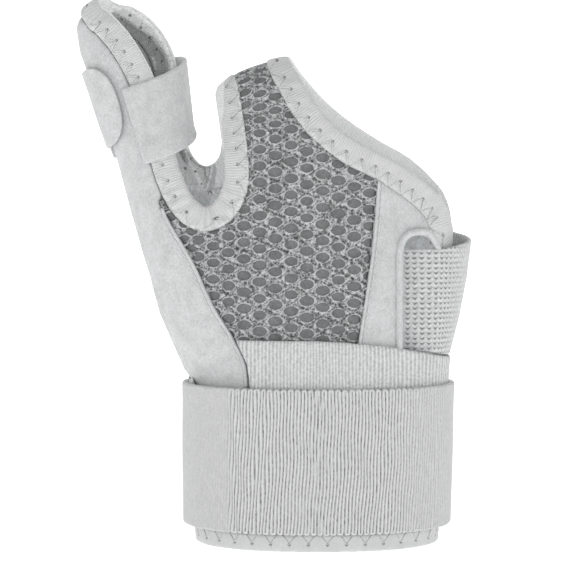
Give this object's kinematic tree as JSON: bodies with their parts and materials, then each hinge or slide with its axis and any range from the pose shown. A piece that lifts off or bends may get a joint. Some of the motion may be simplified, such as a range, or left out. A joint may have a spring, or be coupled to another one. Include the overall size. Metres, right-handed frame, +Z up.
{
  "type": "thumb spica splint",
  "caption": "Soft pale grey thumb spica splint with a mesh mitt, a stiffened thumb sheath, an elastic wrist strap and a small thumb strap.",
  "frame": {"origin": "on the floor, at the middle of the whole splint's box, with the splint standing on its wrist hem", "axes": "+Z up from the wrist to the thumb tip, -Y the palm side with the slot, -X the thumb side"},
  "size_m": [0.1288, 0.0638, 0.176],
  "materials": {
    "spacer_mesh": "pierced knitted spacer mesh",
    "brushed_fabric": "brushed loop pile",
    "elastic_binding": "ribbed folded elastic",
    "knit_elastic": "ribbed knitted elastic"
  },
  "bodies": {
    "root": {"hand_mesh": "spacer_mesh", "thumb_panel": "brushed_fabric", "palm_panel": "brushed_fabric", "thumb_binding": "elastic_binding", "finger_binding": "elastic_binding", "hem_binding": "elastic_binding", "wrist_strap_inner": "knit_elastic", "wrist_strap_outer": "knit_elastic", "wrist_strap_loop": "knit_elastic", "strap_closure": "brushed_fabric", "thumb_strap": "brushed_fabric", "thumb_tab": "brushed_fabric"}
  },
  "joints": []
}
